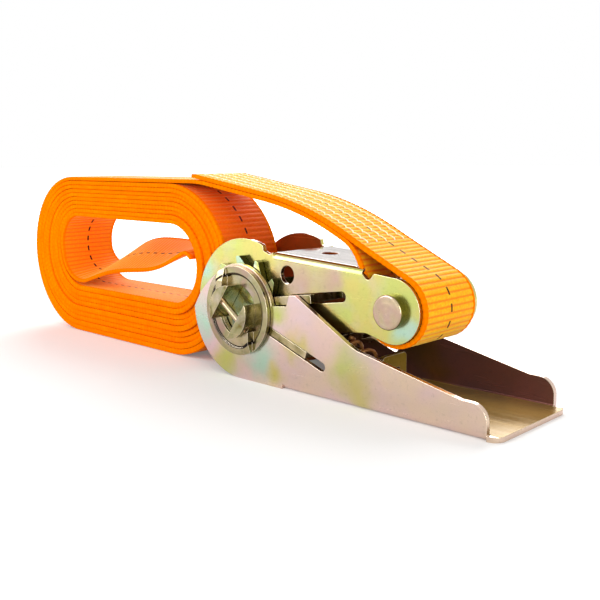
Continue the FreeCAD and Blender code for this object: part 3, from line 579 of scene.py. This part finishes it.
def coil_mesh(centre, u, length, turns):
    """Tube along a helix about u, with its end turns closed, in mm."""
    across = Vector((0, 1, 0))
    out = u.cross(across)
    r = (SPRING_OD - SPRING_WIRE) / 2
    steps = int(turns * SPRING_STEPS)
    points = []
    for i in range(steps + 1):
        share = i / steps
        angle = 2 * math.pi * turns * share
        closed = share - SPRING_CLOSE * math.sin(2 * math.pi * share) / (2 * math.pi)
        along = (closed - 0.5) * (length - SPRING_WIRE)
        radial = out * math.cos(angle) + across * math.sin(angle)
        for k in range(SPRING_SIDES):
            a = 2 * math.pi * k / SPRING_SIDES
            turn = radial * math.cos(a) + u * math.sin(a)
            points.append(centre + u * along + radial * r + turn * (SPRING_WIRE / 2))
    return points, tube_faces(steps + 1, SPRING_SIDES)


def make_spring(node, body, joint, turns, material):
    """Compression spring in its CAD node's place."""
    slide = next(j for j in frame["joints"] if j["name"] == joint)
    u = Vector(slide["axis"]).normalized()
    low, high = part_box(node)
    reach = (high.x - low.x) / MM
    length = (reach - SPRING_OD * abs(u.z)) / u.x
    centre = (low + high) / 2 / MM
    points, faces = coil_mesh(centre, u, length, turns)
    coil = new_piece(node + "_coil", points, faces)
    coil.data.materials.append(material)
    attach(coil, body)
    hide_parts(node)
    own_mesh(coil)


def make_springs():
    """The frame pawl's spring and the handle pawl's, which looks browner."""
    bright = wire_metal("spring_bright", SAND, PINK)
    brown = wire_metal("spring_brown", WIRE_DULL, WIRE_BRIGHT)
    make_spring("frame_pawl_spring", "frame_body", "frame_pawl_slide",
                turns=4.5, material=bright)
    make_spring("handle_pawl_spring", "handle_body", "handle_pawl_slide",
                turns=4.0, material=brown)


# ---------------------------------------------------------------- webbing path

# A run from a to b, all (x, z). An arc has a centre, and its angles are in degrees.
Run = namedtuple("Run", "a b centre r start sweep", defaults=(None, 0.0, 0.0, 0.0))


def add(p, q, k=1.0):
    return (p[0] + q[0] * k, p[1] + q[1] * k)


def unit(a, b):
    d = math.dist(a, b)
    return ((b[0] - a[0]) / d, (b[1] - a[1]) / d)


def polar(r, degrees):
    a = math.radians(degrees)
    return (r * math.cos(a), r * math.sin(a))


def heading(centre, point):
    """Direction from centre to point, in degrees."""
    return math.degrees(math.atan2(point[1] - centre[1], point[0] - centre[0]))


def tangent(point, centre, radius, side):
    """Where a line from the point touches the circle."""
    dx, dz = centre[0] - point[0], centre[1] - point[1]
    d = math.hypot(dx, dz)
    a = math.atan2(dz, dx) + side * math.asin(radius / d)
    reach = math.sqrt(d * d - radius * radius)
    return (point[0] + reach * math.cos(a), point[1] + reach * math.sin(a))


def below(p, q, d):
    """The line from p to q, moved to its right by d."""
    u = unit(p, q)
    n = (u[1], -u[0])
    return add(p, n, d), add(q, n, d)


def crossing(a, b, c, d):
    """Where the line through a and b meets the line through c and d."""
    ux, uz = b[0] - a[0], b[1] - a[1]
    vx, vz = d[0] - c[0], d[1] - c[1]
    t = ((c[0] - a[0]) * vz - (c[1] - a[1]) * vx) / (ux * vz - uz * vx)
    return (a[0] + ux * t, a[1] + uz * t)


def arc(centre, r, start, sweep):
    a = add(centre, polar(r, start))
    b = add(centre, polar(r, start + sweep))
    return Run(a, b, centre, r, start, sweep)


def bend_path(points):
    """Straight runs through (x, z) points, rounded at each corner (x, z, radius)."""
    runs = []
    here = points[0][:2]
    for p, c, q in zip(points, points[1:], points[2:]):
        u, v = unit(p[:2], c[:2]), unit(c[:2], q[:2])
        turn = math.degrees(math.atan2(u[0] * v[1] - u[1] * v[0],
                                       u[0] * v[0] + u[1] * v[1]))
        sign = 1 if turn > 0 else -1
        reach = c[2] * math.tan(math.radians(abs(turn)) / 2)
        a = add(c[:2], u, -reach)
        centre = add(a, (-u[1] * sign, u[0] * sign), c[2])
        runs += [Run(here, a), arc(centre, c[2], heading(centre, a), turn)]
        here = runs[-1].b
    return runs + [Run(here, points[-1][:2])]


def neck_place(knee, crown, crown_r):
    """Where the lower layer, leaning up from the knee, begins to turn into the arc
    round the crown, and the centre of that turn."""
    lean = polar(1.0, NECK_LEAN)
    beside = add(knee, (-lean[1], lean[0]), NECK_R)
    off = add(beside, crown, -1)
    past = off[0] * lean[0] + off[1] * lean[1]
    wide = off[0] ** 2 + off[1] ** 2 - past ** 2
    reach = math.sqrt((crown_r - NECK_R) ** 2 - wide) - past
    return add(knee, lean, reach), add(beside, lean, reach)


def strap_path():
    """Cut end, over to the rivet, round the roller and back under itself. The last run
    lies on the hank."""
    touch = tangent(STRAP_BEND, PIN, LOOP_R, 1)
    upper = bend_path([CUT_END, STRAP_BEND + (STRAP_BEND_R,), touch])
    start = heading(PIN, touch)
    loop = arc(PIN, LOOP_R, start, -(start + 180))
    gap = WEB_T + SEWN_GAP
    crown, crown_end = upper[1].centre, upper[1].start
    crown_r = STRAP_BEND_R - gap
    side = PIN[0] - LOOP_R
    knee = (side, PIN[1] + NECK_RISE)
    foot, neck = neck_place(knee, crown, crown_r)
    meet = heading(crown, neck)
    lower = bend_path([(side, PIN[1]), knee + (KNEE_R,), foot])
    lower.append(arc(neck, NECK_R, NECK_LEAN - 90, meet - NECK_LEAN + 90))
    lower.append(arc(crown, crown_r, meet, crown_end - meet))
    a, b = below(CUT_END, STRAP_BEND, gap)
    top = HANK_TOP - WEB_T / 2
    join = crossing(a, b, (0, top), (1, top))
    lower += bend_path([lower[-1].b, join + (JOIN_R,), (HANK_X0 + HANK_H / 2, top)])
    return upper + [loop] + lower


def hank_path():
    """Flat spiral of wraps with its last turn, and the run that crosses the middle."""
    top = HANK_TOP - WEB_T / 2
    low = FLOOR + HANK_LIFT + WEB_T / 2
    left = HANK_X0 + HANK_H / 2
    right = HANK_X1 - HANK_H / 2
    wraps = []
    for k in range(WRAPS):
        fall = arc((left, (top + low) / 2), (top - low) / 2, 90, 180)
        top -= LAYER
        climb = arc((right, (top + low) / 2), (top - low) / 2, -90, 180)
        low += LAYER + WRAP_SAG
        left += WRAP_EASE
        goal = left if k < WRAPS - 1 else left + INNER_EASE
        wraps += [fall, Run(fall.b, climb.a), climb, Run(climb.b, (goal, top))]
    turn_r = (top - low) / 2 - INNER_ROOM
    turn = (goal, top - turn_r)
    corner = (right + climb.r - INNER_END_IN, low + (top - low) * INNER_END_RISE)
    touch = tangent(corner, turn, turn_r, 1)
    wraps.append(arc(turn, turn_r, 90, heading(turn, touch) % 360 - 90))
    tail = bend_path([touch, corner + (INNER_END_R,), add(corner, INNER_TAIL)])
    return wraps, tail


class Route:
    """The webbing's middle line: a place and an upward normal at each distance."""

    def __init__(self, runs):
        self.runs = [p for p in runs if p.centre or math.dist(p.a, p.b) > SHORTEST_RUN]
        self.ends = np.cumsum([self.length_of(p) for p in self.runs])
        self.length = float(self.ends[-1])

    @staticmethod
    def length_of(run):
        if run.centre:
            return run.r * math.radians(abs(run.sweep))
        return math.dist(run.a, run.b)

    def at(self, s):
        i = min(int(np.searchsorted(self.ends, s)), len(self.runs) - 1)
        run = self.runs[i]
        begin = self.ends[i] - self.length_of(run)
        if not run.centre:
            u = unit(run.a, run.b)
            return add(run.a, u, s - begin), (-u[1], u[0])
        share = (s - begin) / self.length_of(run)
        spot = polar(1.0, run.start + run.sweep * share)
        out = (-1 if run.sweep > 0 else 1)
        return add(run.centre, spot, run.r), (spot[0] * out, spot[1] * out)


# ---------------------------------------------------------------- webbing

def clip(share):
    return min(1.0, max(0.0, share))


def cross_section():
    """Outline of the band: across the width, and share of half the thickness."""
    half = WEB_W / 2
    right = [(half - inset, h) for inset, h in EDGE_PROFILE]
    right += [(half * k / MIDDLE_SPANS, 1.0) for k in range(MIDDLE_SPANS - 1, 0, -1)]
    right.append((MARKER_HALF, 1.0))
    top = right + [(-y, h) for y, h in right[::-1]]
    under = [(y, -h) for y, h in top[-2:0:-1]]
    return top + under


def rib_stations(length):
    """Distances along the band of its cross sections, each with the depth of the groove
    between ribs there, as a share. The last one is moved back to the band's end."""
    every = [((k + at) * RIB, depth) for k in range(int(length / RIB))
             for at, depth in RIB_STATIONS]
    end = length - TUCK
    count = sum(s < end for s, _ in every)
    return every[:count] + [(end, every[count][1])]


def spacing(normal):
    """Distance between neighbouring wraps, by the way their outside faces."""
    x, z = -normal[0], -normal[1]
    low = LAYER + WRAP_SAG
    even = (LAYER + low) / 2
    along_x = even if x > 0 else even + WRAP_EASE
    along_z = LAYER if z > 0 else low
    return x * x * along_x + z * z * along_z


def swell(s, normal, start, end):
    """Extra thickness on the inside of a wrap, so that the hank looks tightly wound."""
    grow = clip((s - start) / SWELL_IN) * clip((end - s) / SWELL_OUT)
    return grow * (spacing(normal) - WEB_T - SWELL_PLAY)


def crossing_run(s, length):
    """Turn about its own line and lift of the run that crosses the eye of the hank."""
    share = (s - length + TAIL_START) / (TAIL_START - TAIL_STOP)
    raised = (s - length + TAIL_START) / (TAIL_START - LIFT_STOP)
    turn = math.sin(math.pi * clip(share))
    lift = math.sin(math.pi * clip(raised)) ** 2
    return math.radians(TAIL_TWIST) * turn, TAIL_LIFT * lift


def drift(s, start, x):
    """Sideways wander of the wraps, and the loop's lean to the near cheek."""
    if s < start:
        share = clip((x - SNUG_SPAN[0]) / (SNUG_SPAN[1] - SNUG_SPAN[0]))
        return -SNUG * share * share * (3 - 2 * share)
    wave = sum(math.sin((s - start) / length + phase) * height
               for length, phase, height in DRIFT_WAVES)
    return clip((s - start) / DRIFT_IN) * wave


def floats(i):
    """Whether the marker yarn lies over the ribs from station i to the next."""
    return any(a <= i % MARKER_CYCLE < b for a, b in MARKER_FLOATS)


def rib_sink(i, depth, y, h):
    """How far a point of the section at station i lies below the ribs' tops."""
    if abs(y) == MARKER_HALF and (floats(i) or floats(i - 1)):
        return 0.0
    rib = RIB_DEPTH * (EDGE_RIB if abs(y) > WEB_W / 2 - EDGE_SMOOTH else 1.0)
    return rib * depth * min(1.0, abs(h) * ROUND_OFF)


def webbing_mesh(route, hank_start, swell_end):
    """Points in mm and faces of the ribbed band, with (across, along) of each point."""
    section = cross_section()
    stations = rib_stations(route.length)
    points, coordinates = [], []
    for i, (s, depth) in enumerate(stations):
        (x, z), (nx, nz) = route.at(s)
        side = drift(min(s, swell_end), hank_start, x)
        thick = WEB_T / 2 + swell(s, (nx, nz), hank_start, swell_end) / 2
        middle = thick - WEB_T / 2
        turn, lift = crossing_run(s, route.length)
        for y, h in section:
            sink = math.copysign(rib_sink(i, depth, y, h), h) if h else 0.0
            high = middle + h * thick - sink
            narrow = EDGE_SCALLOP * depth * (abs(y) > WEB_W / 2 - SCALLOP_W)
            flat = y - math.copysign(narrow, y)
            across = flat * math.cos(turn) - high * math.sin(turn) + side
            high = flat * math.sin(turn) + high * math.cos(turn) + lift
            points.append((x + nx * high, across, z + nz * high))
            coordinates.append((y, s))
    return points, tube_faces(len(stations), len(section)), coordinates


def web_material(name, green, dark, sheen, gloss, wrap=None):
    """Orange ribbed weave with fine yarns and a sheen, and painted shade between the ribs.
    The strap is painted yellower, as painted light, and the outermost wrap, from wrap[0]
    to wrap[1] along the band, redder, as painted shade."""
    def orange(change, red=1.0):
        return (red, green + change, 0.0)

    s = Shader(name)
    uv = s.node("ShaderNodeUVMap", uv_map="weave").outputs[0]
    across, along, _ = s.parts(uv)
    streak = s.spots(s.stretched(uv, (1.3, 0.06, 1)), 3.0, 2.0)
    colour = s.ramp(s.between(streak, 0.25, 0.75),
                    ((0.0, orange(0)), (1.0, orange(STREAK))))
    cloud = s.spots(uv, 0.05, 2.0)
    colour = s.mix(s.between(cloud, 0.3, 0.7, 0.0, 0.25), colour, orange(CLOUD))
    # painted light: yellower strap; painted shade: redder outermost wrap
    if wrap:
        painted_strap_light = s.between(along, wrap[0], wrap[0] - FADE_SPAN)
        colour = s.mix(painted_strap_light, colour, orange(STRAP_PAINTED_LIGHT))
        begun = s.between(along, wrap[0], wrap[0] + FADE_SPAN)
        deep = s.math("MULTIPLY", begun, s.between(along, wrap[1], wrap[1] - FADE_SPAN))
        colour = s.mix(deep, colour, orange(WRAP_PAINTED_SHADE))
    # painted shade in the grooves between the ribs
    rib = s.math("COSINE", s.math("MULTIPLY", along, 2 * math.pi / RIB))
    groove = s.math("MULTIPLY", s.between(rib, 0.1, 1.0), dark)
    colour = s.mix(groove, colour, orange(SHADE_BETWEEN_RIBS, red=0.95))
    place = s.place()
    grain = s.between(s.spots(place, 1300.0, 2.0), 0.35, 0.65, 0.0, 0.5)
    colour = s.mix(grain, colour, orange(GRAIN))
    yarn = s.math("SINE", s.math("MULTIPLY", across, 2 * math.pi / YARN))
    pick = s.math("SINE", s.math("MULTIPLY", along, 2 * math.pi / PICK))
    weave = s.math("MULTIPLY", yarn, s.math("ADD", pick, 1.5))
    normal = s.bump(s.math("MULTIPLY", weave, 0.3), 0.06 * MM, 0.8)
    fuzz = s.spots(place, 2200.0, 2.0)
    normal = s.bump(fuzz, 0.12 * MM, 0.5, normal)
    rough = s.between(streak, 0.3, 0.7, 0.5, 0.66)
    return s.finish(Base_Color=colour, Roughness=rough, Normal=normal,
                    Sheen_Weight=sheen, Sheen_Roughness=SHEEN_ROUGHNESS,
                    Sheen_Tint=SHEEN_TINT, Specular_IOR_Level=gloss)


def marker_material():
    """Dark red-brown marker yarn, floated over the ribs in dashes."""
    s = Shader("webbing_marker")
    uv = s.node("ShaderNodeUVMap", uv_map="weave").outputs[0]
    cloud = s.spots(uv, 0.7, 2.0)
    colour = s.ramp(cloud, ((0.3, (0.14, 0.02, 0.01)), (0.7, (0.28, 0.06, 0.03))))
    twist = s.node("ShaderNodeTexWave", {"Vector": uv, "Scale": 0.8, "Distortion": 0.5},
                   bands_direction="DIAGONAL")
    normal = s.bump(twist.outputs["Fac"], 0.05 * MM, 0.6)
    return s.finish(Base_Color=colour, Roughness=0.6, Normal=normal,
                    Specular_IOR_Level=0.1)


def face_slots(section, faces):
    """Material slot of each face: 0 weave, 1 selvedge and cut ends, 2 marker yarn."""
    n = len(section)
    slots = []
    for f in range(faces):
        i, k = divmod(f, n)
        y, y2 = abs(section[k][0]), abs(section[(k + 1) % n][0])
        if f >= faces - 2 or min(y, y2) > WEB_W / 2 - SELVEDGE:
            slots.append(1)
        else:
            slots.append(2 if y == y2 == MARKER_HALF and floats(i) else 0)
    return slots


def make_webbing(route, hank_start, swell_end):
    """The whole band as one piece, with its weave, selvedges and marker yarn."""
    points, faces, coordinates = webbing_mesh(route, hank_start, swell_end)
    band = new_piece("strap_webbing", points, faces)
    layer = band.data.uv_layers.new(name="weave")
    index = np.zeros(len(band.data.loops), np.int32)
    band.data.loops.foreach_get("vertex_index", index)
    layer.data.foreach_set("uv", np.array(coordinates, np.float32)[index].ravel())
    turn = 2 * (HANK_X1 - HANK_X0 - HANK_H) + math.pi * HANK_H
    wrap = (hank_start, hank_start + turn + FADE_SPAN)
    # dark is the share of painted shade between the ribs
    weave = web_material("webbing_orange", 0.55, dark=0.75, sheen=0.5, gloss=0.1,
                         wrap=wrap)
    selvedge = web_material("webbing_selvedge", 0.50, dark=0.2, sheen=0.0, gloss=0.0)
    for material in (weave, selvedge, marker_material()):
        band.data.materials.append(material)
    slots = face_slots(cross_section(), len(faces))
    band.data.polygons.foreach_set("material_index", slots)
    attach(band, "strap_body")
    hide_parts("webbing")
    return band


# ---------------------------------------------------------------- stitches

def thread_material():
    """Pale yellow twisted thread."""
    s = Shader("sewing_thread")
    place = s.place()
    colour = s.ramp(s.spots(place, 700.0, 2.0),
                    ((0.3, (1.0, 0.93, 0.66)), (0.7, (1.0, 0.98, 0.86))))
    twist = s.node("ShaderNodeTexWave", {"Vector": place, "Scale": 900.0,
                                         "Distortion": 1.0}, bands_direction="DIAGONAL")
    normal = s.bump(twist.outputs["Fac"], 0.05 * MM, 0.6)
    return s.finish(Base_Color=colour, Roughness=0.5, Normal=normal,
                    Sheen_Weight=0.4, Sheen_Roughness=0.4)


def stitch_row(route, middle):
    """Points of one zigzag row, four to each stitch, which arches over the webbing."""
    low = WEB_T / 2 + THREAD_R * 0.3 - STITCH_SINK
    stitches = int((SEWN_LENGTH - STITCH_START) / (STITCH_PITCH / 2))
    line = []
    for i in range(stitches * 4 + 1):
        s = STITCH_START + i * STITCH_PITCH / 8
        (x, z), (nx, nz) = route.at(s)
        side = middle + drift(s, route.length, x)
        swing = 2 * abs((i / 8) % 1 - 0.5) * 2 - 1
        high = low + math.sin(math.pi * ((i / 4) % 1)) * STITCH_ARCH
        line.append((x + nx * high, side + swing * STITCH_SWING, z + nz * high))
    return line


def loose_end(route):
    """A cut thread end that stands up from the seam near the strap's cut end."""
    (x, z), (nx, nz) = route.at(LOOSE_AT)
    spots = []
    for along, side, up in LOOSE_THREAD:
        up += WEB_T / 2
        spots.append((x + nx * up + nz * along, side, z + nz * up - nx * along))
    return spots


def make_stitches(route):
    """Zigzag rows that follow the strap, as one curve piece with round thread."""
    data = bpy.data.curves.new("stitch_rows", "CURVE")
    data.dimensions = "3D"
    data.bevel_depth = THREAD_R * MM
    data.bevel_resolution = 2
    for row in range(STITCH_ROWS):
        middle = (row - (STITCH_ROWS - 1) / 2) * STITCH_GAP
        add_spline(data, "POLY", stitch_row(route, middle))
    loose = add_spline(data, "NURBS", loose_end(route))
    loose.order_u = 3
    loose.use_endpoint_u = True
    rows = bpy.data.objects.new("stitch_rows", data)
    link(rows)
    data.materials.append(thread_material())
    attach(rows, "strap_body")
    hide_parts("stitching")
    return rows


# ---------------------------------------------------------------- floor and world

def floor_material():
    """Pale matt floor. Rays that show the background also see a glow on it, which
    turns it white away from the object."""
    material = bpy.data.materials.new("floor_white")
    material.use_nodes = True
    n = Nodes(material.node_tree)
    n.tree.nodes.clear()
    level = n.between(n.length(n.place()), *GLOW_SPAN, *GLOW)
    glow = n.node("ShaderNodeEmission", {"Strength": level}).outputs[0]
    shown = n.node("ShaderNodeBsdfDiffuse", {"Color": FLOOR_SHOWN}).outputs[0]
    pale = n.node("ShaderNodeBsdfDiffuse", {"Color": FLOOR_PALE}).outputs[0]
    both = n.node("ShaderNodeAddShader", {0: shown, 1: glow}).outputs[0]
    pick = n.node("ShaderNodeMixShader", {0: n.seen_rays(), 1: pale, 2: both})
    n.node("ShaderNodeOutputMaterial", {"Surface": pick.outputs[0]})
    return material


def make_floor():
    """A wide flat floor under the handle and the hank."""
    mesh = bpy.data.meshes.new("floor")
    size, z = FLOOR_REACH, (FLOOR - FLOOR_DROP) * MM
    corners = [(-size, -size, z), (size, -size, z), (size, size, z), (-size, size, z)]
    mesh.from_pydata(corners, [], [(0, 1, 2, 3)])
    mesh.materials.append(floor_material())
    floor = bpy.data.objects.new("floor", mesh)
    link(floor)


def make_world():
    """Even soft light, which looks white where it shows."""
    world = bpy.data.worlds.new("studio")
    world.use_nodes = True
    n = Nodes(world.node_tree)
    background = n.tree.nodes["Background"]
    level = n.between(n.seen_rays(), 0.0, 1.0, WORLD_LIGHT, WORLD_SHOWN)
    n.feed(background.inputs["Color"], (1, 1, 1, 1))
    n.feed(background.inputs["Strength"], level)
    bpy.context.scene.world = world


# ---------------------------------------------------------------- build

make_camera()
make_world()
make_floor()
for lamp in LAMPS:
    make_lamp(*lamp)
bpy.context.scene.view_settings.view_transform = "Standard"

strap = strap_path()
wraps, tail = hank_path()
route = Route(strap + wraps + tail)
hank_start = Route(strap[:-1]).length
swell_end = Route(strap + wraps).length - SWELL_EARLY
band = make_webbing(route, hank_start, swell_end)
rows = make_stitches(route)
dress_metal()
make_springs()
